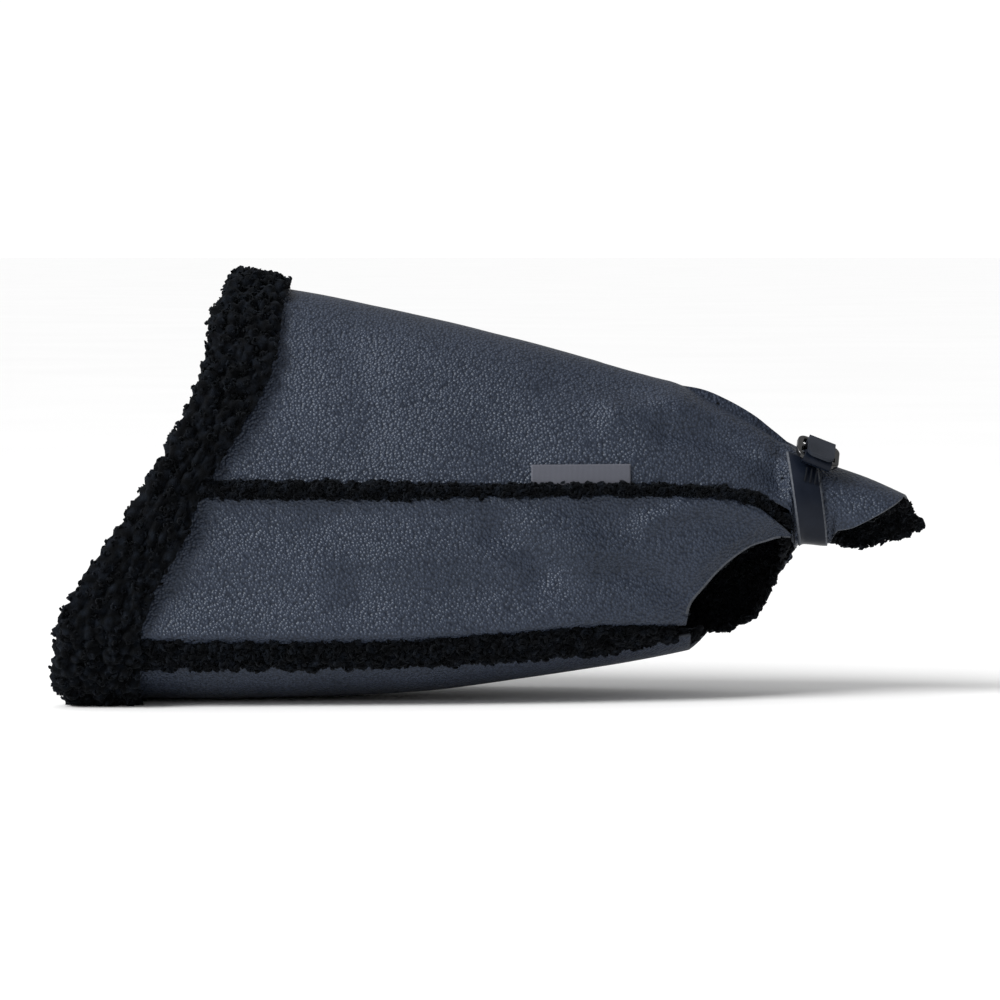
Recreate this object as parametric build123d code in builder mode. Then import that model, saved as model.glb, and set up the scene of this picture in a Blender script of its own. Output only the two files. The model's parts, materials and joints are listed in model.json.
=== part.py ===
"""Handlebar muff: a fleece-lined leather sleeve that straps round a bicycle's handlebar.

Frame, in millimetres: the origin is under the middle of the muff on the surface it lies on,
+X runs along the sleeve from the cuff to the collar, +Z is up, and -Y is the label's side.
"""
import os
from math import copysign, cos, pi, radians, sin

from build123d import *

# Driving dimensions
cuff_x = -145.0          # lower corner of the leather, where the fleece cuff starts
reach = 278.0            # from that corner to the middle of the neck
crown_height = 172.0     # top of the sleeve at the cuff
neck_level = 84.0        # height of the neck's centre
cuff_half_width = 56.0
neck_tilt = 12.0         # the neck's axis drops this much towards the collar, in degrees
collar_reach = 49.0      # from the neck's centre to the collar's tip

bar_radius = 11.1        # a 22.2 mm city handlebar
bar_clearance = 0.2
leather = 1.6
fleece = 6.0
neck_fleece = 6.4        # the lining is squeezed between the bar and the leather
cuff_fleece = 9.0
cuff_proud = 4.0
cuff_band = 30.0
piping_proud = 2.0
ridge_piping_height = 4.4
hem_piping_height = 8.5
floor_flat = 0.6         # how much the underside is pressed flat where it lies

label_length = 41.0
label_height = 7.0
label_thickness = 1.0
label_start = 18.0

strap_width = 13.4
strap_thickness = 1.6
strap_lean = 10.0        # the strap crosses the neck on a slant, in degrees
neck_taper = 11.0        # the neck narrows towards the collar, in degrees on each side
buckle_angle = 60.0      # the buckle's place round the neck, up from the label's side
buckle_bar = 2.4         # thickness of the frame's bars
buckle_window = 4.0      # each of the frame's two slots, measured round the neck
loop_wall = 1.4
tail_thickness = 1.6
tail_overhang = 3.6      # the tail's end beyond the bar that the loop holds
thread = 0.5
stitch_pitch = 2.2
stitch_count = 4
stitch_angle = 28.0      # place of the stitches round the neck, up from the label's side

skin_gap = 0.3           # free air between pieces that move past each other


# Worked-out places
neck_x = cuff_x + reach
bore_radius = bar_radius + bar_clearance
neck_radius = bore_radius + neck_fleece + leather
side_depth = 3 * cuff_half_width
neck_plane = Plane(
    origin=(neck_x, 0, neck_level),
    x_dir=(0, 1, 0),
    z_dir=(cos(radians(neck_tilt)), 0, -sin(radians(neck_tilt))),
)


def at(along, height):
    """A place in the side view: along is 0 at the cuff and 1 at the neck, and height is
    0 on the floor, 1 level with the neck's centre and 2 level with the crown."""
    if height <= 1:
        level = height * neck_level
    else:
        level = neck_level + (height - 1) * (crown_height - neck_level)
    return (cuff_x + along * reach, level)


def on_collar(along, height):
    """A place in the side view near the collar: along is 0 at the neck's centre and 1 at
    the collar's tip, and height is in neck radii above the neck's centre."""
    return (neck_x + along * collar_reach, neck_level + height * neck_radius)


# Cross-sections of the sleeve: place along, half width, floor, widest level, crown, squareness.
# The first four are shares: of the reach, the cuff's half width, and the two heights of at().
SLEEVE = [
    (-0.17, 1.01, 0.0, 0.45, 2.12, 3.0),
    (0.09, 1.0, 0.0, 0.45, 2.0, 3.0),
    (0.42, 0.91, 0.0, 0.48, 1.85, 2.9),
    (0.58, 0.825, 0.06, 0.51, 1.744, 2.75),
    (0.74, 0.69, 0.178, 0.62, 1.61, 2.45),
    (0.83, 0.59, 0.24, 0.70, 1.52, 2.3),
    (0.925, 0.45, 0.41, 0.85, 1.34, 2.1),
]
# Cross-sections of the neck and collar: place along, half width, depth below and height above
# the axis. The last three are in neck radii, and the place is a share of the collar's reach.
NECK = [
    (-0.05, 1.02, 1.03, 1.03),
    (0.19, 0.95, 0.96, 0.93),
    (0.58, 0.97, 1.0, 0.77),
    (1.07, 0.92, 0.95, 0.71),
]


SECTION_POINTS = 16


def section(plane, half_width, below, above, middle, squareness):
    """A closed section: an ellipse above its widest level, and squarer below it."""
    points = []
    for turn in range(SECTION_POINTS):
        angle = 2 * pi * turn / SECTION_POINTS
        side, up = cos(angle), sin(angle)
        power = 1.0 if up >= 0 else 2 / squareness
        height = above if up >= 0 else below
        points.append((
            half_width * copysign(abs(side) ** power, side),
            middle + height * copysign(abs(up) ** power, up),
        ))
    with BuildSketch(plane) as profile:
        with BuildLine():
            Spline(*points, periodic=True)
        make_face()
    return profile.sketch


def muff_form(inset):
    """The muff's whole outline from cuff to collar as a solid, drawn in by inset."""
    sections = []
    for along, width, floor, widest, crown, squareness in SLEEVE:
        x, bottom = at(along, floor)
        middle = at(along, widest)[1]
        top = at(along, crown)[1]
        if floor == 0:
            bottom -= floor_flat
        plane = Plane(origin=(x, 0, 0), x_dir=(0, 1, 0), z_dir=(1, 0, 0))
        sections.append(section(plane, width * cuff_half_width - inset, middle - bottom - inset,
                                top - middle - inset, middle, squareness))
    for along, width, below, above in NECK:
        plane = neck_plane.offset(along * collar_reach)
        sections.append(section(plane, width * neck_radius - inset, below * neck_radius - inset,
                                above * neck_radius - inset, 0, 2.0))
    with BuildPart() as form:
        loft(sections=sections, ruled=True)
        split(bisect_by=Plane.XY, keep=Keep.TOP)
    return form.part


def side_face(*runs):
    """A closed outline in the side view: smooth runs of points, joined end to end."""
    with BuildSketch(Plane.XZ) as outline:
        with BuildLine():
            for run, following in zip(runs, runs[1:] + runs[:1]):
                if len(run) > 2:
                    Spline(*run)
                else:
                    Line(*run)
                if run[-1] != following[0]:
                    Line(run[-1], following[0])
        make_face()
    return outline.sketch


def band(*runs):
    """The zone of the side view inside an outline, through the whole width of the muff."""
    with BuildPart() as zone:
        extrude(side_face(*runs), amount=side_depth, both=True)
    return zone.part


# Corners of the side view that lie clear of the muff
floor_left, floor_right = at(-0.3, -0.5), at(0.831, -0.5)
sky_left, sky_right = at(-0.3, 3.5), on_collar(2, 4)

# Lines of the side view. Seams are drawn from the cuff towards the neck.
cuff_seam = [at(0, -0.3), at(0, 0.3), at(0.03, 0.59), at(0.095, 1.05), at(0.16, 1.4),
             at(0.195, 1.6), at(0.215, 2.1)]
cuff_rim = [(x - cuff_band * share, z) for (x, z), share in
            zip(cuff_seam, (1.12, 1.17, 1.05, 0.82, 0.92, 0.98, 0.76))]
ridge_low = [at(-0.2, 1.04), at(0.3, 1.035), at(0.66, 1.03), at(0.84, 1.015), at(0.91, 0.975),
             at(0.95, 0.9), at(0.988, 0.785)]
ridge_high = [(x, z + ridge_piping_height * share) for (x, z), share in
              zip(ridge_low, (1, 1, 1, 1, 1.2, 1.6, 2.9))]
hem_high = [at(-0.2, 0.285), at(0.37, 0.285), at(0.54, 0.305), at(0.69, 0.345), at(0.9, 0.345)]
hem_low = [(x, z - hem_piping_height * share) for (x, z), share in
           zip(hem_high, (1, 1, 1, 0.95, 0.1))]
mouth_foot = at(0.831, 0.235)
mouth_near = [mouth_foot, at(0.818, 0.345), at(0.824, 0.43), at(0.853, 0.57), at(0.88, 0.67),
              at(0.91, 0.74), at(0.945, 0.775), at(0.988, 0.785)]
mouth_far = [mouth_foot, at(0.868, 0.285), at(0.908, 0.38), at(0.938, 0.5), at(0.962, 0.62),
             at(0.988, 0.7)]
collar_tip = on_collar(0.87, 0.1)
collar_near = [on_collar(0.21, -0.68), on_collar(0.36, -0.65), on_collar(0.47, -0.52),
               on_collar(0.65, -0.28), collar_tip]
collar_far = [on_collar(0.12, -1.4), on_collar(0.37, -1.24), on_collar(0.55, -1.2),
              on_collar(0.74, -0.9), on_collar(0.98, -0.82), on_collar(1.0, -0.55), collar_tip]
under_neck = [at(0.99, 0.6), on_collar(0.2, -1.7)]
beyond_tip = [sky_right, on_collar(2, -6)]

# Zones that are cut away: the cuff's side of its seam, what lies past the cuff's rim, and
# the air under the mouth and the collar, which reach further down on the far side.
cuff_side = band(cuff_seam, [cuff_seam[-1], sky_left], [sky_left, floor_left])
past_rim = band(cuff_rim, [cuff_rim[-1], sky_left], [sky_left, floor_left])
with BuildPart() as open_air:
    extrude(side_face(mouth_near, under_neck, collar_near, beyond_tip, [floor_right, mouth_foot]),
            amount=side_depth)
    extrude(side_face(mouth_far, collar_far, beyond_tip, [floor_right, mouth_foot]),
            amount=-side_depth)

# Solid forms that the pieces are cut from
cuff_outside = muff_form(-cuff_proud)
cuff_inside = muff_form(cuff_fleece)
piping_outside = muff_form(-piping_proud)
outside = muff_form(0)
leather_inside = muff_form(leather)
fleece_inside = muff_form(leather + fleece)
with BuildPart() as leather_skin:
    add(outside)
    add(leather_inside, mode=Mode.SUBTRACT)
    add(cuff_side, mode=Mode.SUBTRACT)
    add(open_air.part, mode=Mode.SUBTRACT)
with BuildPart() as lining_skin:
    add(leather_inside)
    add(fleece_inside, mode=Mode.SUBTRACT)
    add(cuff_side, mode=Mode.SUBTRACT)
    add(open_air.part, mode=Mode.SUBTRACT)
with BuildPart() as piping_skin:
    add(piping_outside)
    add(fleece_inside, mode=Mode.SUBTRACT)
    add(cuff_side, mode=Mode.SUBTRACT)
    add(open_air.part, mode=Mode.SUBTRACT)

# Zones between the seams
upper_zone = band(ridge_high, [ridge_high[-1], at(0.988, 0.3)], [on_collar(2, -4), sky_right],
                  [sky_right, sky_left])
ridge_zone = band(ridge_low, [ridge_low[-1], ridge_high[-1]], ridge_high[::-1])
lower_zone = band(ridge_low, [ridge_low[-1], at(0.988, 0.345)], hem_high[::-1])
hem_zone = band(hem_high, [hem_high[-1], hem_low[-1]], hem_low[::-1])
base_zone = band(hem_low, [hem_low[-1], at(0.9, -0.5)], [floor_left, hem_low[0]])
lining_end = Plane(origin=(neck_x - 0.2 * collar_reach, 0, 0), z_dir=(1, 0, 0))

# Leather shell
with BuildPart() as upper_panel:
    add(leather_skin.part)
    add(upper_zone, mode=Mode.INTERSECT)
with BuildPart() as lower_panel_near:
    add(leather_skin.part)
    add(lower_zone, mode=Mode.INTERSECT)
    split(bisect_by=Plane.XZ, keep=Keep.TOP)
with BuildPart() as lower_panel_far:
    add(leather_skin.part)
    add(lower_zone, mode=Mode.INTERSECT)
    split(bisect_by=Plane.XZ, keep=Keep.BOTTOM)
with BuildPart() as base_panel:
    add(leather_skin.part)
    add(base_zone, mode=Mode.INTERSECT)

# Fleece lining, which stops where the squeezed lining of the neck begins
with BuildPart() as upper_lining:
    add(lining_skin.part)
    add(upper_zone, mode=Mode.INTERSECT)
    split(bisect_by=lining_end, keep=Keep.BOTTOM)
with BuildPart() as lower_lining_near:
    add(lining_skin.part)
    add(lower_zone, mode=Mode.INTERSECT)
    split(bisect_by=Plane.XZ, keep=Keep.TOP)
    split(bisect_by=lining_end, keep=Keep.BOTTOM)
with BuildPart() as lower_lining_far:
    add(lining_skin.part)
    add(lower_zone, mode=Mode.INTERSECT)
    split(bisect_by=Plane.XZ, keep=Keep.BOTTOM)
    split(bisect_by=lining_end, keep=Keep.BOTTOM)
with BuildPart() as base_lining:
    add(lining_skin.part)
    add(base_zone, mode=Mode.INTERSECT)
with BuildPart() as neck_lining:
    add(leather_inside)
    split(bisect_by=lining_end, keep=Keep.TOP)
    add(open_air.part, mode=Mode.SUBTRACT)
    with BuildSketch(neck_plane.offset(-collar_reach)):
        Circle(bore_radius)
    extrude(amount=3 * collar_reach, mode=Mode.SUBTRACT)

# Fleece pipings: folds of the lining that stand out of the seams
with BuildPart() as ridge_piping_near:
    add(piping_skin.part)
    add(ridge_zone, mode=Mode.INTERSECT)
    split(bisect_by=Plane.XZ, keep=Keep.TOP)
    split(bisect_by=lining_end, keep=Keep.BOTTOM)
with BuildPart() as ridge_piping_far:
    add(piping_skin.part)
    add(ridge_zone, mode=Mode.INTERSECT)
    split(bisect_by=Plane.XZ, keep=Keep.BOTTOM)
    split(bisect_by=lining_end, keep=Keep.BOTTOM)
with BuildPart() as hem_piping_near:
    add(piping_skin.part)
    add(hem_zone, mode=Mode.INTERSECT)
    split(bisect_by=Plane.XZ, keep=Keep.TOP)
with BuildPart() as hem_piping_far:
    add(piping_skin.part)
    add(hem_zone, mode=Mode.INTERSECT)
    split(bisect_by=Plane.XZ, keep=Keep.BOTTOM)

# Cuff: a thick band of fleece folded back over the edge of the leather
with BuildPart() as fleece_cuff:
    add(cuff_outside)
    add(cuff_side, mode=Mode.INTERSECT)
    add(past_rim, mode=Mode.SUBTRACT)
    add(cuff_inside, mode=Mode.SUBTRACT)

# Label: a woven tab on the near side, held by its lower edge above the ridge piping
label_low = ridge_high[2][1] + 2 * skin_gap
with BuildPart() as label:
    add(muff_form(-skin_gap - label_thickness))
    add(muff_form(-skin_gap), mode=Mode.SUBTRACT)
    with BuildSketch(Plane.XZ):
        with Locations((label_start, label_low)):
            Rectangle(label_length, label_height, align=(Align.MIN, Align.MIN))
    extrude(amount=side_depth, mode=Mode.INTERSECT)


def round_the_neck(angle, height):
    """A plane that touches the tapering neck on the near side. Its origin stands height off
    the leather, its X runs towards the collar, its Y up and over the neck, its Z outwards."""
    axis = neck_plane.z_dir
    outward = (neck_plane.x_dir * -cos(radians(angle)) + neck_plane.y_dir * sin(radians(angle)))
    along = axis * cos(radians(neck_taper)) - outward * sin(radians(neck_taper))
    square = axis * sin(radians(neck_taper)) + outward * cos(radians(neck_taper))
    foot = neck_plane.origin + outward * neck_radius
    return Plane(origin=foot + square * height, x_dir=along, z_dir=square)


# Buckle: a glossy frame with a middle bar, held by a loop of the strap round its lower bar
loop_inside = buckle_bar / 2 + 2 * skin_gap
loop_outside = loop_inside + loop_wall
bar_spacing = buckle_window + buckle_bar
frame_length = strap_width + 2 * skin_gap + 2 * buckle_bar
frame_width = 2 * buckle_window + 3 * buckle_bar
buckle_plane = round_the_neck(buckle_angle, loop_outside + skin_gap)
buckle_outward = Axis(buckle_plane.origin, buckle_plane.z_dir)
buckle_over = Axis(buckle_plane.origin, buckle_plane.y_dir)
with BuildPart() as buckle_frame:
    with BuildSketch(buckle_plane.offset(-buckle_bar / 2)):
        RectangleRounded(frame_length, frame_width, 1.5 * buckle_bar)
        with GridLocations(0, bar_spacing, 1, 2):
            RectangleRounded(frame_length - 2 * buckle_bar, buckle_window, buckle_bar / 3,
                             mode=Mode.SUBTRACT)
    extrude(amount=buckle_bar)
    flat_faces = buckle_frame.faces().sort_by(buckle_outward)
    fillet(flat_faces[0].edges() + flat_faces[-1].edges(), 0.28 * buckle_bar)

# The loop runs along the strap's width, so its axis is the buckle plane's X
loop_plane = Plane(
    origin=buckle_plane.from_local_coords((-strap_width / 2, -bar_spacing, 0)),
    x_dir=buckle_plane.y_dir,
    z_dir=buckle_plane.x_dir,
)
with BuildPart() as buckle_loop:
    with BuildSketch(loop_plane):
        Circle(loop_outside)
        Circle(loop_inside, mode=Mode.SUBTRACT)
    extrude(amount=strap_width)

# Strap round the neck, open under the buckle between its loop end and its free end
strap_outside = muff_form(-strap_thickness)
with BuildPart() as neck_strap:
    add(strap_outside)
    add(outside, mode=Mode.SUBTRACT)
    with BuildSketch(Plane.XZ):
        with Locations((neck_x, neck_level)):
            Rectangle(strap_width, 4 * neck_radius, rotation=strap_lean)
    extrude(amount=side_depth, both=True, mode=Mode.INTERSECT)
    with BuildSketch(buckle_plane.offset(-2 * loop_outside)):
        with Locations((0, -bar_spacing / 2 + buckle_bar / 2)):
            Rectangle(frame_length + 4 * buckle_bar, bar_spacing)
    extrude(amount=4 * loop_outside, mode=Mode.SUBTRACT)
    with BuildSketch(loop_plane.offset(-strap_width)):
        Circle(loop_outside)
    extrude(amount=3 * strap_width, mode=Mode.SUBTRACT)

# Tail: the strap's free end, up through the upper slot and back over the frame
tail_width = strap_width - 2 * skin_gap
tail_low = loop_outside + skin_gap
stem_low = -buckle_bar / 3
stem_back = buckle_bar / 2 + skin_gap
with BuildPart() as strap_tail:
    with BuildSketch(buckle_plane.offset(tail_low)):
        with Locations((0, stem_back + tail_thickness)):
            Rectangle(tail_width, stem_back + tail_thickness + bar_spacing + tail_overhang,
                      align=(Align.CENTER, Align.MAX))
    extrude(amount=tail_thickness)
    free_end = strap_tail.edges().filter_by(buckle_outward).group_by(buckle_over)[0]
    fillet(free_end, 2 * tail_thickness)
    with BuildSketch(buckle_plane.offset(stem_low)):
        with Locations((0, stem_back)):
            Rectangle(tail_width, tail_thickness, align=(Align.CENTER, Align.MIN))
    extrude(amount=tail_low - stem_low)

# Stitches that hold the folded end of the strap
stitch_plane = round_the_neck(stitch_angle, 0)
with BuildPart() as strap_stitches:
    add(muff_form(-strap_thickness - thread))
    add(strap_outside, mode=Mode.SUBTRACT)
    with BuildSketch(stitch_plane):
        with GridLocations(stitch_pitch, 0, stitch_count, 1):
            SlotOverall(3 * stitch_pitch, thread, rotation=90)
    extrude(amount=2 * neck_radius, mode=Mode.INTERSECT)

pieces = {
    "upper_panel": upper_panel,
    "lower_panel_near": lower_panel_near,
    "lower_panel_far": lower_panel_far,
    "base_panel": base_panel,
    "upper_lining": upper_lining,
    "lower_lining_near": lower_lining_near,
    "lower_lining_far": lower_lining_far,
    "base_lining": base_lining,
    "neck_lining": neck_lining,
    "ridge_piping_near": ridge_piping_near,
    "ridge_piping_far": ridge_piping_far,
    "hem_piping_near": hem_piping_near,
    "hem_piping_far": hem_piping_far,
    "fleece_cuff": fleece_cuff,
    "label": label,
    "neck_strap": neck_strap,
    "buckle_loop": buckle_loop,
    "buckle_frame": buckle_frame,
    "strap_tail": strap_tail,
    "strap_stitches": strap_stitches,
}
os.makedirs("parts", exist_ok=True)
for name, piece in pieces.items():
    piece.part.label = name
    export_step(piece.part, f"parts/{name}.step")
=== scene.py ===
import json
import random
from math import acos, asin, cos, exp, hypot, pi, radians, sin, tan

import bmesh
import bpy
from mathutils import Matrix, Vector, noise


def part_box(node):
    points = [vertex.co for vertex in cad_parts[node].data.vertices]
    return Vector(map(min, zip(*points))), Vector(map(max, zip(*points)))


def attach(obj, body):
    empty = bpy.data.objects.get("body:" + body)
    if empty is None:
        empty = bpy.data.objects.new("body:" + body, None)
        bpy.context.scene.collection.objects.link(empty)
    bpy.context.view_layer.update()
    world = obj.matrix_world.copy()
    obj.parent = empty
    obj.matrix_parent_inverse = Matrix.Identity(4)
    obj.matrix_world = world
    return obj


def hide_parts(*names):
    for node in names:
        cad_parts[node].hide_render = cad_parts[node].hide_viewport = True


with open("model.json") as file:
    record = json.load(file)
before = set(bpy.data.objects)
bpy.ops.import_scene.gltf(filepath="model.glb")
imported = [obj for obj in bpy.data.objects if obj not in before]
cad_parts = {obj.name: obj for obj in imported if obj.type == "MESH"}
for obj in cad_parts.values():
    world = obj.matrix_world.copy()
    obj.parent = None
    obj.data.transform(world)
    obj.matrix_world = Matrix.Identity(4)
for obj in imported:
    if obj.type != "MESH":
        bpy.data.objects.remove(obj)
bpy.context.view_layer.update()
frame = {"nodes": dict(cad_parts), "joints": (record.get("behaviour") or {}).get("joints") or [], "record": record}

noise.seed_set(258)     # without it, noise vectors differ from run to run

# ---------------------------------------------------------------- places from the frame
mounts = {mount["name"]: mount for mount in frame["record"]["mounts"]}
joints = {joint["name"]: joint for joint in frame["joints"]}
BAR = Vector(mounts["handlebar"]["pos_m"])
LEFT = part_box("lower_panel_near")[0].x          # where the cuff meets the leather
REACH = BAR.x - LEFT
LEVEL = BAR.z
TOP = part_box("upper_panel")[1].z
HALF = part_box("lower_panel_far")[1].y
LOOP_SHARE = 0.84       # the strap's share of the loop's box, which the loop fills on a slant
STRAP_WIDTH = LOOP_SHARE * (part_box("buckle_loop")[1].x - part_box("buckle_loop")[0].x)

# The buckle's own directions: across the strap, up along it and out of the buckle's face
BUCKLE = 0.5 * (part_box("buckle_frame")[0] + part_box("buckle_frame")[1])
BUCKLE_ACROSS = Vector(joints["buckle_tilt"]["axis"]).normalized()
BUCKLE_RAISED = radians(60.5)       # how far above level the buckle's face looks
facing = Vector((0, -cos(BUCKLE_RAISED), sin(BUCKLE_RAISED)))
BUCKLE_OUT = (facing - BUCKLE_ACROSS * facing.dot(BUCKLE_ACROSS)).normalized()
BUCKLE_UP = BUCKLE_OUT.cross(BUCKLE_ACROSS)

NEAR, FAR = -1, 1
LEATHER = 0.0013        # thickness of the panels
STRAP = 0.0014          # thickness of the strap
LABEL = 0.0007          # thickness of the woven tab
FLEECE = 0.0045         # depth of the lining's face under the leather's
CUFF = 0.0050           # half the thickness of the cuff's folded band
HEM_LIFT = 0.0030       # the near lower panel's edge rolls up by this much over the hem's fleece
UNDERLAP = 0.0012       # and the fleece goes this much further under it
UNDER_CUFF = 0.004      # the linings start this far back from the leather's seam
CLOSING = 0.003         # the leather closes or opens over this length beside the strap
COLLAR_RADIUS = 0.018


def x_at(along):
    """A place along X: 0 at the cuff and 1 at the neck."""
    return LEFT + along * REACH


def at(along, height):
    """A place in the side view: along as x_at has it, and height 0 on the floor, 1 level with
    the bar and 2 level with the top of the leather."""
    if height <= 1:
        return x_at(along), height * LEVEL
    return x_at(along), LEVEL + (height - 1) * (TOP - LEVEL)


def blend(low, high, share):
    return low + (high - low) * share


def ramp(value, start, end):
    """0 before start, 1 after end, and smooth between."""
    share = min(max((value - start) / (end - start), 0.0), 1.0)
    return share * share * (3 - 2 * share)


class Run:
    """A smooth line through a few (place, value) pairs."""

    def __init__(self, pairs):
        self.keys = [key for key, _ in pairs]
        self.values = [value for _, value in pairs]
        slopes = [(b[1] - a[1]) / (b[0] - a[0]) for a, b in zip(pairs, pairs[1:])]
        self.slopes = [slopes[0]]
        for before, after in zip(slopes, slopes[1:]):
            flat = before * after <= 0
            self.slopes.append(0.0 if flat else 2 * before * after / (before + after))
        self.slopes.append(slopes[-1])

    def __call__(self, key):
        if key <= self.keys[0]:
            return self.values[0]
        if key >= self.keys[-1]:
            return self.values[-1]
        index = next(i for i in range(len(self.keys)) if self.keys[i + 1] >= key)
        span = self.keys[index + 1] - self.keys[index]
        u = (key - self.keys[index]) / span
        a, b = self.values[index], self.values[index + 1]
        da, db = self.slopes[index] * span, self.slopes[index + 1] * span
        return (a * (1 + 2 * u) * (1 - u) ** 2 + da * u * (1 - u) ** 2
                + b * u * u * (3 - 2 * u) + db * u * u * (u - 1))


def level_line(*places):
    """Height as a function of place along X."""
    return Run([at(*place) for place in places])


def upright_line(*places):
    """Place along X as a function of height."""
    return Run(sorted((z, x) for x, z in (at(*place) for place in places)))


# ---------------------------------------------------------------- the sleeve's form
# Place along, half width in shares of HALF, the heights of the floor, the widest level and the
# crown, and how square the lower half is, where 2 is an ellipse
SECTIONS = [
    (-0.16, 1.013, 0.0, 0.454, 2.234, 3.0),
    (0.091, 0.999, 0.0, 0.454, 2.114, 3.0),
    (0.216, 0.969, 0.007, 0.459, 2.053, 3.0),
    (0.298, 0.951, 0.012, 0.465, 2.0, 2.9),
    (0.42, 0.907, 0.033, 0.477, 1.914, 2.9),
    (0.578, 0.818, 0.1, 0.513, 1.794, 2.75),
    (0.738, 0.684, 0.179, 0.621, 1.646, 2.45),
    (0.825, 0.587, 0.235, 0.692, 1.55, 2.3),
    (0.878, 0.516, 0.286, 0.764, 1.465, 2.2),
    (0.921, 0.453, 0.394, 0.847, 1.387, 2.1),
    (0.957, 0.391, 0.590, 0.943, 1.302, 2.0),
    (0.996, 0.352, 0.785, 0.991, 1.224, 2.0),
    (1.032, 0.331, 0.770, 0.955, 1.174, 2.0),
    (1.093, 0.32, 0.700, 0.895, 1.099, 2.0),
    (1.179, 0.302, 0.716, 0.835, 0.967, 2.0),
]
stations, halves, floors, middles, crowns, squares = zip(*SECTIONS)
width_run = Run([(x_at(along), half * HALF) for along, half in zip(stations, halves)])
floor_run = Run([at(*spot) for spot in zip(stations, floors)])
middle_run = Run([at(*spot) for spot in zip(stations, middles)])
crown_run = Run([at(*spot) for spot in zip(stations, crowns)])
square_run = Run([(x_at(along), square) for along, square in zip(stations, squares)])

# Seams and edges in the side view
ridge_low = level_line((-0.2, 1.048), (0.238, 1.048), (0.388, 1.033), (0.689, 1.038),
                       (0.839, 1.023), (0.907, 0.987), (0.944, 0.912), (0.974, 0.812),
                       (0.985, 0.782))
ridge_high = level_line((-0.2, 1.1), (0.373, 1.089), (0.538, 1.084), (0.689, 1.084),
                        (0.839, 1.068), (0.907, 1.043), (0.944, 0.997), (0.974, 0.937),
                        (0.985, 0.907))
hem_high = level_line((-0.2, 0.286), (0.388, 0.286), (0.538, 0.306), (0.689, 0.346),
                      (0.985, 0.346))
hem_low = level_line((-0.2, 0.200), (0.463, 0.205), (0.538, 0.215), (0.689, 0.244),
                     (0.798, 0.300), (0.929, 0.341))
cuff_seam = upright_line((0.001, -0.015), (0.004, 0.311), (0.027, 0.586), (0.065, 0.787),
                         (0.095, 1.053), (0.14, 1.292), (0.195, 1.647), (0.216, 2.078))
cuff_rim = upright_line((-0.082, -0.015), (-0.105, 0.03), (-0.122, 0.12), (-0.12, 0.336),
                        (-0.086, 0.586), (-0.033, 0.837), (0.012, 1.089), (0.065, 1.418),
                        (0.095, 1.647), (0.11, 1.951), (0.135, 2.123))
MOUTH_NEAR = [(0.825, 0.236), (0.815, 0.346), (0.819, 0.431), (0.851, 0.576), (0.878, 0.672),
              (0.904, 0.737), (0.943, 0.777), (0.985, 0.782)]
MOUTH_FAR = [(0.851, 0.236), (0.884, 0.326), (0.923, 0.416), (0.943, 0.521), (0.961, 0.622),
             (0.988, 0.727), (0.989, 0.79)]
collar_near = level_line((1.033, 0.84), (1.059, 0.852), (1.08, 0.882), (1.11, 0.937),
                         (1.147, 1.018))
collar_far = level_line((1.02, 0.785), (1.051, 0.785), (1.074, 0.775), (1.11, 0.800),
                        (1.152, 0.835), (1.172, 0.87))
TIP_NEAR = x_at(1.147)
TIP_FAR = x_at(1.171)
STRAP_LEFT = x_at(0.972)
STRAP_RIGHT = x_at(1.03)


def angle_at(x, z):
    """The angle round a section, 0 at the crown and pi at the floor, that has this height."""
    middle = middle_run(x)
    if z >= middle:
        return acos(min(1.0, (z - middle) / (crown_run(x) - middle)))
    share = min(1.0, (middle - z) / (middle - floor_run(x)))
    return pi / 2 + asin(share ** (square_run(x) / 2))


def skin(x, angle, side, lift=0.0):
    """A point on the sleeve's form, lifted outwards."""
    width = width_run(x) + lift
    middle = middle_run(x)
    if angle <= pi / 2:
        rise = crown_run(x) - middle + lift
        return Vector((x, side * width * sin(angle), middle + rise * cos(angle)))
    power = 2 / square_run(x)
    down = angle - pi / 2
    depth = middle - floor_run(x) + lift
    return Vector((x, side * width * max(cos(down), 0.0) ** power,
                   middle - depth * sin(down) ** power))


def rest_on_floor(point, clearance=0.0002):
    """Lifts a point that would lie lower than the floor."""
    point.z = max(point.z, clearance)
    return point


def edge_places(places, low, high):
    """An end line of a panel between two seams: X as a function of the share from low to high."""
    line = [at(*place) for place in places]
    pairs = []
    for x, z in line:
        share = (z - low(x)) / (high(x) - low(x))
        if not pairs or share > pairs[-1][0] + 0.01:
            pairs.append((share, x))
    return Run(pairs)


def seam_start(height_at):
    """X on the cuff's seam for a row whose height is height_at(x)."""
    x = LEFT
    for _ in range(6):
        x = cuff_seam(height_at(x))
    return x


# ---------------------------------------------------------------- surface relief
def soft_fold(point, size=0.0011):
    """Slow waves of soft leather."""
    return size * (noise.noise(point * 14) + 0.45 * noise.noise(point * 37))


def pile(point, height):
    """The lumpy surface of curly fleece."""
    curl = 0.0044
    wander = noise.noise_vector(point / (1.6 * curl)) * 0.4 * curl
    near, second = noise.voronoi((point + wander) / curl)[0][:2]
    dome = 0.8 - 1.9 * near * near + 0.5 * min(second - near, 0.5)
    return height * (dome + 0.35 * noise.noise(point / 0.0016))


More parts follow.
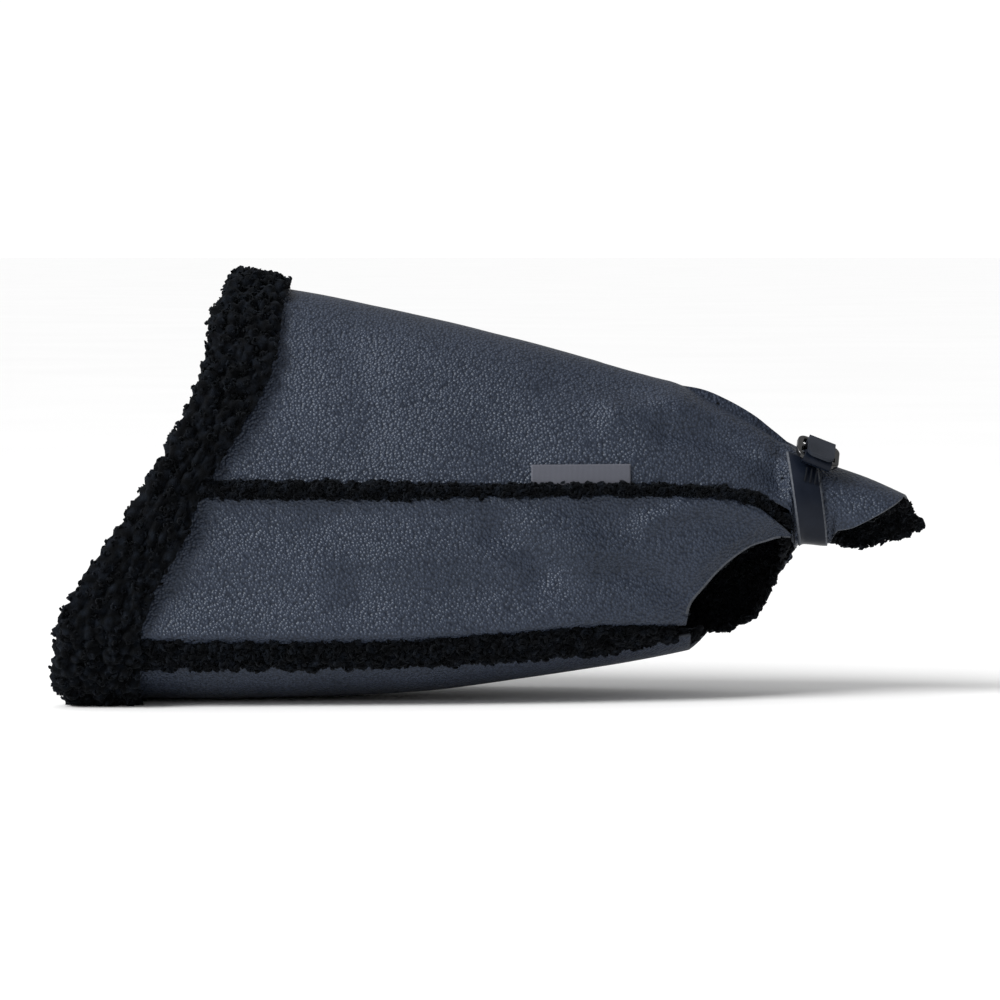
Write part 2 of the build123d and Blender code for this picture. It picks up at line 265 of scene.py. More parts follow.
# Soft folds: two ends in the side view, half width and depth, inwards when positive
FOLDS = [
    ((0.536, 0.852), (0.600, 0.668), 0.0070, 0.0023),
    ((0.590, 0.880), (0.680, 0.700), 0.0090, -0.0020),
    ((0.689, 0.662), (0.822, 0.480), 0.0060, 0.0020),
    ((0.760, 0.900), (0.930, 0.915), 0.0050, -0.0020),
    ((0.790, 1.360), (0.965, 1.090), 0.0060, 0.0034),
    ((0.712, 1.440), (0.930, 1.265), 0.0070, -0.0024),
    ((0.628, 1.590), (0.749, 1.500), 0.0090, 0.0017),
    ((0.315, 1.780), (0.345, 1.330), 0.0100, 0.0014),
    ((0.285, 0.890), (0.330, 0.540), 0.0110, 0.0015),
    ((0.420, 1.500), (0.560, 1.200), 0.0120, 0.0014),
]


def folds(x, z, side):
    """How far the soft folds push a point of the leather in or out."""
    shift = 0.0 if side == NEAR else 0.012
    push = 0.0
    for start, end, width, depth in FOLDS:
        a, b = at(*start), at(*end)
        along = Vector((b[0] - a[0], b[1] - a[1]))
        away = Vector((x - shift - a[0], z - a[1]))
        share = min(max(away.dot(along) / along.length_squared, 0.0), 1.0)
        bow = 0.12 * along.length * sin(pi * share)
        offset = away - along * share
        across = Vector((-along.y, along.x)).normalized()
        distance = hypot(offset.dot(across) - bow, offset.dot(along.normalized()))
        push -= depth * exp(-(distance / width) ** 2)
    return push


# ---------------------------------------------------------------- mesh helpers
MERGE = 0.00004         # points of a sheet that are closer than this are one point
INSIDE = Vector((BAR.x - 0.4 * REACH, 0, 0.6 * LEVEL))      # a place well within the sleeve


def new_piece(name, bm, *materials):
    """Makes a mesh an object of its own and frees it."""
    mesh = bpy.data.meshes.new(name)
    bm.normal_update()
    bm.to_mesh(mesh)
    bm.free()
    piece = bpy.data.objects.new(name, mesh)
    bpy.context.scene.collection.objects.link(piece)
    for material in materials:
        mesh.materials.append(material)
    mesh.shade_smooth()
    return piece


def sheet_mesh(columns, rows, place, cut_edge_and_painted_grain_shade=None):
    """A grid of cloth. place(s, t) puts each of its points, s and t from 0 to 1, and the faces
    that worn(s, t) picks take the second material."""
    bm = bmesh.new()
    bmesh.ops.create_grid(bm, x_segments=columns, y_segments=rows, size=0.5)
    spots = {}
    for vert in bm.verts:
        spots[vert] = (vert.co.x + 0.5, vert.co.y + 0.5)
    for face in bm.faces if cut_edge_and_painted_grain_shade else ():
        middle = face.calc_center_median()
        face.material_index = 1 if cut_edge_and_painted_grain_shade(middle.x + 0.5, middle.y + 0.5) else 0
    for vert, (s, t) in spots.items():
        vert.co = place(s, t)
    bmesh.ops.remove_doubles(bm, verts=bm.verts, dist=MERGE)
    bm.normal_update()
    outwards = sum(face.normal.dot(face.calc_center_median() - INSIDE) * face.calc_area()
                   for face in bm.faces)
    if outwards < 0:
        bmesh.ops.reverse_faces(bm, faces=bm.faces)
    return bm


def ruffle(bm, height):
    """Pushes a mesh's points in and out like curly pile."""
    bm.normal_update()
    moves = [(vert, vert.normal * pile(vert.co, height)) for vert in bm.verts]
    for vert, move in moves:
        vert.co += move


def thicken(piece, thickness, rim_material=1):
    """Gives a sheet its wall, inwards from its outer face."""
    solid = piece.modifiers.new("thickness", "SOLIDIFY")
    solid.thickness = thickness
    solid.offset = -1
    solid.material_offset_rim = rim_material


CURL_STRAND = 0.00078   # radius of a curl's strand
CURL_RADIUS = 0.00115   # radius that it winds at
CURL_RISE = 0.0002      # how far it climbs at each step
CURL_TURN = radians(290)


def curl_template():
    """One small open curl of fleece: a short tube wound through most of a turn."""
    bm = bmesh.new()
    ring = bmesh.ops.create_circle(bm, segments=3, radius=CURL_STRAND)
    upright = Matrix.Rotation(pi / 2, 3, "X")
    bmesh.ops.rotate(bm, verts=ring["verts"], cent=(0, 0, 0), matrix=upright)
    bmesh.ops.translate(bm, verts=ring["verts"], vec=(CURL_RADIUS, 0, 0))
    bmesh.ops.spin(bm, geom=bm.verts[:] + bm.edges[:], cent=(0, 0, 0), axis=(0, 0, 1),
                   dvec=(0, 0, CURL_RISE), angle=CURL_TURN, steps=5)
    bmesh.ops.recalc_face_normals(bm, faces=bm.faces)
    mesh = bpy.data.meshes.new("curl_template")
    bm.to_mesh(mesh)
    bm.free()
    return mesh


CURL = curl_template()


def add_curls(bm, count, seed, sink=0.0004, size=(0.75, 1.35), keep=None):
    """Scatters curls over the faces of a fleece mesh, evenly by area."""
    chance = random.Random(seed)
    faces = [face for face in bm.faces if keep is None or keep(face.calc_center_median())]
    areas = [face.calc_area() for face in faces]
    chosen = chance.choices(faces, weights=areas, k=count)
    spots = [(face.calc_center_median(), face.normal.copy()) for face in chosen]
    for spot, normal in spots:
        lean = Matrix.Rotation(chance.gauss(radians(35), radians(28)), 4, "X")
        turn = Matrix.Rotation(chance.uniform(0, 2 * pi), 4, "Z")
        spin = Matrix.Rotation(chance.uniform(0, 2 * pi), 4, "Z")
        stand = normal.to_track_quat("Z", "Y").to_matrix().to_4x4()
        scale = Matrix.Scale(chance.uniform(*size), 4)
        shift = Matrix.Translation(spot + normal * chance.uniform(-sink, sink))
        curl = CURL.copy()
        curl.transform(shift @ stand @ spin @ lean @ turn @ scale)
        bm.from_mesh(curl)
        bpy.data.meshes.remove(curl)


# ---------------------------------------------------------------- materials
def new_material(name):
    """A material, its nodes, its shader and the Object coordinates that its patterns read."""
    material = bpy.data.materials.new(name)
    material.use_nodes = True
    tree = material.node_tree
    shader = tree.nodes["Principled BSDF"]
    place = tree.nodes.new("ShaderNodeTexCoord")
    return material, tree, shader, place.outputs["Object"]


def texture(tree, kind, place, scale, **settings):
    node = tree.nodes.new(f"ShaderNodeTex{kind}")
    node.inputs["Scale"].default_value = scale
    for key, value in settings.items():
        node.inputs[key].default_value = value
    tree.links.new(place, node.inputs["Vector"])
    return node


def colour_ramp(tree, factor, low, high, start=0.3, end=0.7):
    node = tree.nodes.new("ShaderNodeValToRGB")
    node.color_ramp.elements[0].position = start
    node.color_ramp.elements[1].position = end
    node.color_ramp.elements[0].color = (*low, 1)
    node.color_ramp.elements[1].color = (*high, 1)
    tree.links.new(factor, node.inputs["Fac"])
    return node.outputs["Color"]


def value_range(tree, factor, low, high):
    node = tree.nodes.new("ShaderNodeMapRange")
    node.inputs["To Min"].default_value = low
    node.inputs["To Max"].default_value = high
    tree.links.new(factor, node.inputs["Value"])
    return node.outputs["Result"]


def bumps(tree, shader, *layers):
    """Stacks bump layers of (height, strength, distance) into the shader's normal."""
    normal = None
    for height, strength, distance in layers:
        node = tree.nodes.new("ShaderNodeBump")
        node.inputs["Strength"].default_value = strength
        node.inputs["Distance"].default_value = distance
        tree.links.new(height, node.inputs["Height"])
        if normal:
            tree.links.new(normal, node.inputs["Normal"])
        normal = node.outputs["Normal"]
    tree.links.new(normal, shader.inputs["Normal"])


def leather_material():
    """Grained soft leather: pebbles about a millimetre across, split by fine valleys, with painted shade in the
    valleys and a painted highlight on the pebbles' tops.
    """
    material, tree, shader, place = new_material("grained_leather")
    pebbles = texture(tree, "Voronoi", place, 860)
    fine = texture(tree, "Noise", place, 2600, Detail=4.0)
    creases = texture(tree, "Noise", place, 120, Detail=5.0, Distortion=0.8)
    patches = texture(tree, "Noise", place, 22, Detail=3.0)
    tone = colour_ramp(tree, patches.outputs["Fac"],
                       (0.0178, 0.0236, 0.0385), (0.0240, 0.0308, 0.0490))
    # Painted light: the mix below lightens the pebbles' tops as a painted highlight and darkens the valleys
    # between them as painted shade, over the leather's own patchy tone.
    cut_edge_and_painted_grain_shade = tree.nodes.new("ShaderNodeMixRGB")
    cut_edge_and_painted_grain_shade.blend_type = "MULTIPLY"
    cut_edge_and_painted_grain_shade.inputs["Fac"].default_value = 0.75
    valleys = colour_ramp(tree, pebbles.outputs["Distance"],
                          (1.7, 1.68, 1.62), (0.32, 0.34, 0.38), 0.1, 0.8)
    tree.links.new(tone, cut_edge_and_painted_grain_shade.inputs["Color1"])
    tree.links.new(valleys, cut_edge_and_painted_grain_shade.inputs["Color2"])
    tree.links.new(cut_edge_and_painted_grain_shade.outputs["Color"], shader.inputs["Base Color"])
    tree.links.new(value_range(tree, fine.outputs["Fac"], 0.30, 0.46), shader.inputs["Roughness"])
    shader.inputs["Specular IOR Level"].default_value = 0.3
    shader.inputs["Specular Tint"].default_value = (0.82, 0.90, 1.0, 1)
    bumps(tree, shader, (creases.outputs["Fac"], 0.35, 0.0009),
          (pebbles.outputs["Distance"], 1.0, -0.0006), (fine.outputs["Fac"], 0.3, 0.0001))
    return material


def cut_edge_material():
    """The raw cut edge of the leather, a lighter line."""
    material, tree, shader, place = new_material("leather_cut_edge")
    grain = texture(tree, "Noise", place, 900, Detail=3.0)
    tone = colour_ramp(tree, grain.outputs["Fac"], (0.03, 0.035, 0.045), (0.07, 0.078, 0.095))
    tree.links.new(tone, shader.inputs["Base Color"])
    shader.inputs["Roughness"].default_value = 0.7
    bumps(tree, shader, (grain.outputs["Fac"], 0.5, 0.0002))
    return material


def fleece_material(name, low, high):
    """Black curly pile: painted shade makes it dark between the curls and a painted highlight lightens their tops,
    with a faint cool sheen on top of them.
    """
    material, tree, shader, place = new_material(name)
    clumps = texture(tree, "Voronoi", place, 240)
    strands = texture(tree, "Noise", place, 1500, Detail=5.0, Distortion=1.5)
    tone = colour_ramp(tree, strands.outputs["Fac"], low, high, 0.35, 0.75)
    # Painted light: the middles of the clumps are lightened as a painted highlight and the hollows between them
    # darkened as painted shade.
    painted_clump_shading = colour_ramp(tree, clumps.outputs["Distance"],
                       (1.7, 1.7, 1.7), (0.25, 0.25, 0.25), 0.05, 0.65)
    shaded = tree.nodes.new("ShaderNodeMixRGB")
    shaded.blend_type = "MULTIPLY"
    shaded.inputs["Fac"].default_value = 1.0
    tree.links.new(tone, shaded.inputs["Color1"])
    tree.links.new(painted_clump_shading, shaded.inputs["Color2"])
    tree.links.new(shaded.outputs["Color"], shader.inputs["Base Color"])
    roughness = value_range(tree, clumps.outputs["Distance"], 0.8, 0.98)
    tree.links.new(roughness, shader.inputs["Roughness"])
    shader.inputs["Specular IOR Level"].default_value = 0.08
    shader.inputs["Sheen Weight"].default_value = 0.03
    shader.inputs["Sheen Roughness"].default_value = 0.45
    shader.inputs["Sheen Tint"].default_value = (0.75, 0.85, 1.0, 1)
    bumps(tree, shader, (clumps.outputs["Distance"], 0.5, 0.0008),
          (strands.outputs["Fac"], 0.8, 0.0006))
    return material


def strap_material(name, low, high):
    """The strap's smoother leather, with a faint lengthwise polish."""
    material, tree, shader, place = new_material(name)
    grain = texture(tree, "Voronoi", place, 1700)
    polish = texture(tree, "Noise", place, 90, Detail=4.0)
    tone = colour_ramp(tree, polish.outputs["Fac"], low, high)
    tree.links.new(tone, shader.inputs["Base Color"])
    tree.links.new(value_range(tree, polish.outputs["Fac"], 0.3, 0.5), shader.inputs["Roughness"])
    shader.inputs["Specular IOR Level"].default_value = 0.14
    bumps(tree, shader, (polish.outputs["Fac"], 0.3, 0.0006),
          (grain.outputs["Distance"], 0.3, 0.00008))
    return material


def buckle_material():
    """Gloss black plastic with fine scuffs."""
    material, tree, shader, place = new_material("gloss_black")
    scuffs = texture(tree, "Noise", place, 700, Detail=6.0, Distortion=2.0)
    tone = colour_ramp(tree, scuffs.outputs["Fac"], (0.0015, 0.0015, 0.002), (0.004, 0.004, 0.005))
    tree.links.new(tone, shader.inputs["Base Color"])
    tree.links.new(value_range(tree, scuffs.outputs["Fac"], 0.08, 0.2), shader.inputs["Roughness"])
    shader.inputs["Coat Weight"].default_value = 0.4
    shader.inputs["Coat Roughness"].default_value = 0.04
    bumps(tree, shader, (scuffs.outputs["Fac"], 0.1, 0.0001))
    return material


def label_material():
    """A plain woven tab: fine crossing threads, grey, with no mark on it."""
    material, tree, shader, place = new_material("woven_label")
    warp = texture(tree, "Wave", place, 620, Distortion=0.4)
    warp.bands_direction = "X"
    weft = texture(tree, "Wave", place, 760, Distortion=0.4)
    weft.bands_direction = "Z"
    weave = tree.nodes.new("ShaderNodeMath")
    weave.operation = "MULTIPLY"
    tree.links.new(warp.outputs["Fac"], weave.inputs[0])
    tree.links.new(weft.outputs["Fac"], weave.inputs[1])
    tone = colour_ramp(tree, weave.outputs["Value"],
                       (0.045, 0.048, 0.064), (0.105, 0.110, 0.138), 0.1, 0.7)
    tree.links.new(tone, shader.inputs["Base Color"])
    shader.inputs["Roughness"].default_value = 0.75
    shader.inputs["Sheen Weight"].default_value = 0.2
    bumps(tree, shader, (weave.outputs["Value"], 0.6, 0.00012))
    return material


def thread_material():
    """The dark twisted thread of the strap's stitches."""
    material, tree, shader, place = new_material("thread")
    twist = texture(tree, "Wave", place, 1400, Distortion=1.0)
    tone = colour_ramp(tree, twist.outputs["Fac"], (0.002, 0.003, 0.005), (0.006, 0.008, 0.012))
    tree.links.new(tone, shader.inputs["Base Color"])
    shader.inputs["Roughness"].default_value = 0.7
    shader.inputs["Specular IOR Level"].default_value = 0.15
    bumps(tree, shader, (twist.outputs["Fac"], 0.5, 0.0001))
    return material


def floor_material():
    """The plain pale studio floor."""
    material, tree, shader, place = new_material("pale_floor")
    mottle = texture(tree, "Noise", place, 3, Detail=2.0)
    tone = colour_ramp(tree, mottle.outputs["Fac"], (0.90, 0.90, 0.90), (0.92, 0.92, 0.92))
    tree.links.new(tone, shader.inputs["Base Color"])
    shader.inputs["Roughness"].default_value = 0.9
    return material


leather = leather_material()
cut_edge = cut_edge_material()
curly = fleece_material("curly_fleece", (0.0009, 0.0014, 0.0024), (0.0050, 0.0072, 0.0115))
lining = fleece_material("lining_fleece", (0.0014, 0.0018, 0.0026), (0.0060, 0.0074, 0.0100))
# Two copies of one strap leather in painted light: the darker one is painted shade, on the band and on its fold in
# the hollow under the tail, and the lighter one is a painted highlight for the tail's lit top.
shaded_strap_leather = strap_material("shaded_strap_leather", (0.0030, 0.0050, 0.0105), (0.0075, 0.0105, 0.0185))
lit_tail_leather = strap_material("lit_tail_leather", (0.016, 0.019, 0.026), (0.028, 0.032, 0.042))
gloss_black = buckle_material()
woven = label_material()
thread = thread_material()


# ---------------------------------------------------------------- leather panels
def past_strap(x):
    """0 up to the strap's right edge, and 1 in the collar."""
    return ramp(x, STRAP_RIGHT, STRAP_RIGHT + CLOSING)


def upper_edge(x, side):
    """The angle round the section where the upper panel ends on one side."""
    above = angle_at(x, ridge_high(x))
    if side == NEAR:
        past = angle_at(x, collar_near(x))
    else:
        past = angle_at(x, collar_far(x))
    wrap = ramp(x, STRAP_LEFT, STRAP_LEFT + CLOSING)
    return blend(blend(above, pi, wrap), past, past_strap(x))


def upper_place(s, t, lift=0.0, past=0.0):
    """A point of the upper panel: t runs from the near ridge over the crown to the far one.
    The lining lies under it and stands past the far edge of the collar."""
    across = 2 * t - 1
    side = NEAR if across < 0 else FAR
    share = abs(across)
    start = seam_start(lambda x: skin(x, share * upper_edge(x, side), side).z) + row_start(lift)
    end = TIP_NEAR if side == NEAR else blend(TIP_NEAR, TIP_FAR + 0.6 * past, share)
    x = blend(start, end, s)
    edge = upper_edge(x, side)
    if side == FAR:
        edge = min(edge + past / COLLAR_RADIUS * past_strap(x), pi)
        lift *= 1 - 0.55 * ramp(share, 0.8, 1.0) * past_strap(x)
    angle = share * edge
    point = skin(x, angle, side, lift)
    calm = 1 - 0.6 * ramp(x, STRAP_LEFT - 0.01, STRAP_LEFT)
    push = soft_fold(point) * calm + crown_fold(x, angle, side) + neck_pleats(x, angle, side)
    push += folds(x, point.z, side) * (1 - ramp(x, STRAP_LEFT - 0.006, STRAP_LEFT))
    return rest_on_floor(skin(x, angle, side, lift + push))


def row_start(lift):
    """Where a row starts, from the cuff's seam: the leather at it and the lining further back."""
    return -UNDER_CUFF if lift < 0 else 0.0


def crown_fold(x, angle, side):
    """The gather of the crown towards the strap: the near side's edge sinks below the far one."""
    here = ramp(x, x_at(0.79), x_at(0.86)) * (1 - ramp(x, x_at(0.95), x_at(0.975)))
    if side == NEAR:
        return -0.0022 * here * (1 - ramp(angle, radians(24), radians(60)))
    return 0.0008 * here * (1 - ramp(angle, radians(10), radians(60)))


def neck_pleats(x, angle, side):
    """Shallow pleats where the strap draws the leather in."""
    here = ramp(x, x_at(0.86), STRAP_LEFT) * (1 - ramp(x, STRAP_LEFT, STRAP_LEFT + 0.004))
    return 0.0007 * here * sin(11 * angle + side)


def lower_place(side, end, s, t, lift=0.0, past=0.0):
    """A point of a lower panel: t runs from the hem up to the ridge seam. The panel swells above
    the hem, turns in at it, dips under the ridge, and curls in at the near side's mouth."""
    rolled = HEM_LIFT if side == NEAR else 0.0

    def row(x):
        return blend(hem_high(x) + rolled, ridge_low(x), t)

    x = blend(seam_start(row) + row_start(lift), end(t) + past, s)
    angle = angle_at(x, row(x))
    point = skin(x, angle, side, lift)
    push = lift + soft_fold(point, 0.0012) + folds(x, point.z, side)
    push += 0.0030 * (1 - ramp(t, 0.0, 0.40)) - 0.0022 * (1 - ramp(t, 0.0, 0.06))
    push -= 0.0022 * ramp(s, 0.955, 1.0) * ramp(t, 0.15, 0.4) if side == NEAR else 0.0
    push -= 0.0012 * ramp(t, 0.55, 0.8) * (1 - ramp(t, 0.85, 1.0))
    return rest_on_floor(skin(x, angle, side, push))


def base_place(s, t, lift=0.0, past=0.0):
    """A point of the base panel: t runs from the near hem, underneath, to the far hem."""
    across = 2 * t - 1
    side = NEAR if across < 0 else FAR
    share = abs(across)
    start = cuff_seam(blend(0.0, hem_low(LEFT), share)) + row_start(lift)
    foot = x_at(0.823)
    end = foot if side == NEAR else blend(foot, x_at(0.86), share)
    x = blend(start, end + past, s)
    angle = pi - share * (pi - angle_at(x, hem_low(x)))
    push = lift - 0.0012 * share + soft_fold(skin(x, angle, side), 0.0006) * (0.3 + 0.7 * share)
    return rest_on_floor(skin(x, angle, side, push))


def dress(piece, body, slot, *nodes):
    """Puts a piece on its body, in place of its CAD nodes; its slot is not used."""
    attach(piece, body)
    if nodes:
        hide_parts(*nodes)
    return piece


def leather_piece(name, columns, rows, place, node, cut_edge_and_painted_grain_shade=None):
    """A leather panel, with the cut edge's lighter tone on the faces that worn(s, t) picks."""
    piece = new_piece(name, sheet_mesh(columns, rows, place, cut_edge_and_painted_grain_shade), leather, cut_edge)
    dress(piece, "sleeve", "leather", node)
    thicken(piece, LEATHER)
    return piece


near_mouth = edge_places(MOUTH_NEAR, hem_high, ridge_low)
far_mouth = edge_places(MOUTH_FAR, hem_high, ridge_low)
UPPER_COLUMNS, UPPER_ROWS = 240, 150
LOWER_COLUMNS, LOWER_ROWS = 190, 60
leather_piece("upper_leather", UPPER_COLUMNS, UPPER_ROWS, upper_place, "upper_panel",
              lambda s, t: s > 0.875 and t < 1 / UPPER_ROWS)
leather_piece("lower_leather_near", LOWER_COLUMNS, LOWER_ROWS,
              lambda s, t: lower_place(NEAR, near_mouth, s, t), "lower_panel_near",
              lambda s, t: s > 1 - 1 / LOWER_COLUMNS and t > 0.1)
leather_piece("lower_leather_far", LOWER_COLUMNS, LOWER_ROWS,
              lambda s, t: lower_place(FAR, far_mouth, s, t), "lower_panel_far")
leather_piece("base_leather", 150, 70, base_place, "base_panel")


# ---------------------------------------------------------------- fleece
def fleece_piece(name, bm, height, curls, seed, slot, nodes, material=curly, keep=None,
                 size=(0.7, 1.25)):
    """A fleece part: its form ruffled, with curls where keep(place) lets them stand."""
    ruffle(bm, height)
    add_curls(bm, curls, seed, size=size, keep=keep)
    for vert in bm.verts:
        rest_on_floor(vert.co)
    piece = new_piece(name, bm, material)
    dress(piece, "sleeve", slot, *nodes)
    return piece


fleece_piece("crown_fleece", sheet_mesh(150, 110, lambda s, t: upper_place(s, t, -FLEECE, 0.0055)),
             0.0016, 2400, 11, "fleece_lining", ("upper_lining",), lining,
             keep=lambda p: p.x > STRAP_RIGHT)
fleece_piece("side_fleece_near", sheet_mesh(130, 44, lambda s, t: lower_place(
    NEAR, near_mouth, s, t, -FLEECE)), 0.0012, 900, 12, "fleece_lining",
    ("lower_lining_near",), lining, keep=lambda p: p.x > x_at(0.8))
fleece_piece("side_fleece_far", sheet_mesh(130, 48, lambda s, t: lower_place(
    FAR, far_mouth, s, 1.09 * t - 0.09 * s, -FLEECE, 0.0034)), 0.0019, 2600, 13, "fleece_lining",
    ("lower_lining_far",), lining, keep=lambda p: p.x > x_at(0.78))
fleece_piece("base_fleece", sheet_mesh(110, 50, lambda s, t: base_place(s, t, -FLEECE, 0.0045)),
             0.0014, 1000, 14, "fleece_lining", ("base_lining",), lining,
             keep=lambda p: p.x > x_at(0.68) or p.x < LEFT + 0.06)


def piping_place(side, low, high, end, proud, s, t):
    """A point of a fleece piping, which bulges out of the seam between two panels."""
    start = seam_start(lambda x: blend(low(x), high(x), t))
    x = blend(start, end, s)
    by_cuff = 1 - ramp(x, x_at(0.2), x_at(0.55))
    by_neck = ramp(x, x_at(0.9), x_at(0.97))
    wider = 0.0014 * by_cuff - 0.0016 * by_neck - 0.0003
    z = blend(low(x) - wider, high(x) + wider, t)
    rise = proud * (1 - 0.8 * by_neck) * sin(pi * t) - 0.0008 - 0.0012 * by_neck
    return rest_on_floor(skin(x, angle_at(x, z), side, rise))


ridge_end = x_at(0.984)
for seed, side, name, node in ((21, NEAR, "ridge_fleece_near", "ridge_piping_near"),
                               (22, FAR, "ridge_fleece_far", "ridge_piping_far")):
    fleece_piece(name, sheet_mesh(300, 10, lambda s, t: piping_place(
        side, ridge_low, ridge_high, ridge_end, 0.0026, s, t)), 0.0014, 2200, seed,
        "fleece_piping", (node,), keep=lambda p: p.x < x_at(0.965), size=(0.5, 0.95))
for seed, side, name, node, end in (
        (23, NEAR, "hem_fleece_near", "hem_piping_near", x_at(0.80)),
        (24, FAR, "hem_fleece_far", "hem_piping_far", x_at(0.86))):
    under = HEM_LIFT + UNDERLAP if side == NEAR else UNDERLAP
    fleece_piece(name, sheet_mesh(280, 18, lambda s, t: piping_place(
        side, hem_low, lambda x: hem_high(x) + under, end, 0.0010, s, t)), 0.0015, 2600, seed,
        "fleece_piping", (node,), size=(0.7, 1.2))


CUFF_FACE, CUFF_ROLL = 0.5, 0.68    # where t ends on the cuff's outer face and on its rolled rim
CUFF_SINK = 0.0006


def cuff_place(s, t):
    """A point of the cuff: s runs once round the sleeve, t from the seam round the rim and in."""
    turn = 2 * s - 1
    side = NEAR if turn < 0 else FAR
    angle = abs(turn) * pi
    seam = seam_start(lambda x: skin(x, angle, side).z)
    rim = LEFT
    for _ in range(6):
        rim = cuff_rim(skin(rim, angle, side).z)
    rim += CUFF + 0.0022
    if t < CUFF_FACE:
        share = t / CUFF_FACE
        x = blend(seam + 0.0015, rim, share)
        lift = CUFF * ramp(share, -0.35, 0.22) - CUFF_SINK
    elif t < CUFF_ROLL:
        bend = (t - CUFF_FACE) / (CUFF_ROLL - CUFF_FACE) * pi
        x = rim - CUFF * sin(bend)
        lift = CUFF * cos(bend) - CUFF_SINK
    else:
        share = (t - CUFF_ROLL) / (1 - CUFF_ROLL)
        x = blend(rim, seam + 0.014, share)
        lift = -CUFF - CUFF_SINK
    return rest_on_floor(skin(x, angle, side, lift), 0.0004)


fleece_piece("cuff_fleece", sheet_mesh(430, 80, cuff_place), 0.0029, 4000, 31,
             "fleece_cuff", ("fleece_cuff",), size=(0.5, 0.95))


def neck_fleece_place(s, t):
    """The lining squeezed round the bar, flaring a little into the collar."""
    angle = 2 * pi * t
    side = NEAR if angle > pi else FAR
    turn = angle if angle <= pi else 2 * pi - angle
    x = blend(STRAP_LEFT - 0.004, STRAP_RIGHT + 0.004, s)
    return skin(x, turn, side, -0.0042 - 0.003 * sin(pi * s))


fleece_piece("neck_fleece", sheet_mesh(26, 90, neck_fleece_place), 0.0010, 300, 15,
             "fleece_lining", ("neck_lining",), lining)


# ---------------------------------------------------------------- label
label_low, label_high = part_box("label")


def label_place(s, t):
    """A point of the label, which lies on the leather from inside the ridge's fleece upwards."""
    x = blend(label_low.x, label_high.x, s)
    z = blend(label_low.z - 0.0012, label_high.z, t)
    return skin(x, angle_at(x, z), NEAR, 2 * LABEL)


label = new_piece("woven_label", sheet_mesh(60, 12, label_place), woven, woven)
dress(label, "label", "woven_label", "label")
thicken(label, LABEL, 0)


# ---------------------------------------------------------------- strap and buckle
STRAP_START = radians(33)               # angles from the crown, round the near side first
STRAP_END = 2 * pi - radians(14)
STRAP_SLANT = tan(radians(7.5))


def strap_place(s, t):
    """A point of the strap round the neck: t runs round from the near top, underneath, to the
    far top, and s runs across its width, on a slant. Its edges cup towards the leather."""
    from_crown = blend(STRAP_START, STRAP_END, t)
    turn = from_crown if from_crown <= pi else 2 * pi - from_crown
    side = NEAR if from_crown <= pi else FAR
    x = BAR.x - 0.0006 + (s - 0.5) * STRAP_WIDTH
    x += (LEVEL - skin(x, turn, side, 0.0018).z) * STRAP_SLANT
    cup = 0.0005 * abs(2 * s - 1) ** 3
    return skin(x, turn, side, 0.0017 - cup)


strap_mesh = sheet_mesh(16, 120, strap_place, lambda s, t: abs(2 * s - 1) > 0.9)
strap = new_piece("strap_band", strap_mesh, shaded_strap_leather, cut_edge)
dress(strap, "sleeve", "strap", "neck_strap")
thicken(strap, STRAP)

# The strap's fold and its free end are narrower than their solids, and each flatter by its share
NARROWER = 0.92
# The fold takes the darker copy of the strap leather as painted shade and the free end the lighter copy as painted
# light.
for node, name, body, painted_light_leather, flatter in (
        ("buckle_loop", "strap_fold", "sleeve", shaded_strap_leather, 0.84),
        ("strap_tail", "strap_end", "tail", lit_tail_leather, 0.98)):
    solid = frame["nodes"][node]
    bm = bmesh.new()
    bm.from_mesh(solid.data)
    bm.transform(solid.matrix_world)
    bmesh.ops.remove_doubles(bm, verts=bm.verts, dist=0.00001)
    for vert in bm.verts:
        away = vert.co - BUCKLE
        across = BUCKLE_ACROSS * away.dot(BUCKLE_ACROSS) * NARROWER
        up = BUCKLE_UP * away.dot(BUCKLE_UP)
        out = BUCKLE_OUT * away.dot(BUCKLE_OUT) * flatter
        vert.co = BUCKLE + across + up + out
    piece = new_piece(name, bm, painted_light_leather)
    dress(piece, body, "strap", node)
    for polygon in piece.data.polygons:
        polygon.use_smooth = False
    softer = piece.modifiers.new("worn edges", "BEVEL")
    softer.width = 0.0003
    softer.segments = 2

for node, material in (("buckle_frame", gloss_black), ("strap_stitches", thread)):
    shown = frame["nodes"][node]
    shown.data.materials.clear()
    shown.data.materials.append(material)

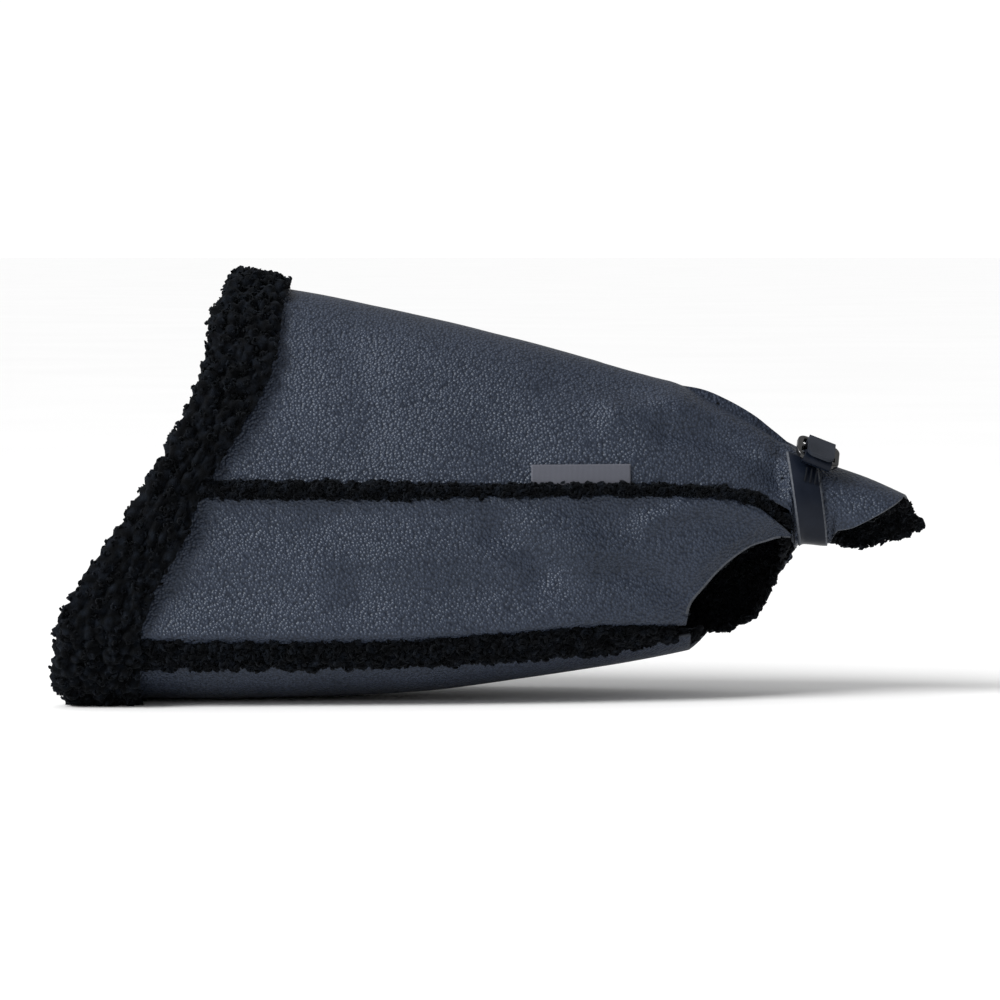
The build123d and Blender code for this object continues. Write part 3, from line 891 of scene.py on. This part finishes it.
# ---------------------------------------------------------------- camera, light and floor
VIEW_WIDTH = 0.42       # how much of the object's plane the frame spans
DISTANCE = 2.2
SENSOR = 36
TARGET = Vector((0.005, 0, 0.0827))
ELEVATION = radians(3.0)
camera_data = bpy.data.cameras.new("camera")
camera_data.sensor_width = SENSOR
camera_data.lens = SENSOR * DISTANCE / VIEW_WIDTH
camera = bpy.data.objects.new("camera", camera_data)
camera.location = TARGET + Vector((0, -DISTANCE * cos(ELEVATION), DISTANCE * sin(ELEVATION)))
camera.rotation_euler = (TARGET - camera.location).to_track_quat("-Z", "Y").to_euler()
bpy.context.scene.collection.objects.link(camera)
bpy.context.scene.camera = camera


def soft_light(name, place, size, power):
    """A round soft light that looks at the middle of the object."""
    data = bpy.data.lights.new(name, "AREA")
    data.shape = "DISK"
    data.size = size
    data.energy = power
    lamp = bpy.data.objects.new(name, data)
    lamp.location = place
    lamp.rotation_euler = (Vector((0, 0, 0.08)) - Vector(place)).to_track_quat("-Z", "Y").to_euler()
    bpy.context.scene.collection.objects.link(lamp)


soft_light("fill", (-1.6, -1.5, 0.9), 1.2, 9)
soft_light("top", (-0.5, 0.1, 1.9), 1.2, 6)
SUN_TOWARDS = Vector((0.80, 0.56, -0.85))
sun_data = bpy.data.lights.new("sun", "SUN")
sun_data.energy = 3.3
sun_data.angle = radians(28)
sun = bpy.data.objects.new("sun", sun_data)
sun.rotation_euler = SUN_TOWARDS.to_track_quat("-Z", "Y").to_euler()
bpy.context.scene.collection.objects.link(sun)

FLOOR_SIZE = 30
floor_mesh = bmesh.new()
bmesh.ops.create_grid(floor_mesh, x_segments=1, y_segments=1, size=FLOOR_SIZE)
floor = new_piece("floor", floor_mesh, floor_material())

DOME, BACKDROP = 0.42, 1.05     # the surroundings as a light, and as they look
world = bpy.data.worlds.new("studio")
world.use_nodes = True
world_tree = world.node_tree
sky = world_tree.nodes["Background"]
sky.inputs["Color"].default_value = (1.0, 1.0, 1.0, 1)
path = world_tree.nodes.new("ShaderNodeLightPath")
strength = value_range(world_tree, path.outputs["Is Camera Ray"], DOME, BACKDROP)
world_tree.links.new(strength, sky.inputs["Strength"])
bpy.context.scene.world = world
bpy.context.scene.view_settings.view_transform = "Standard"
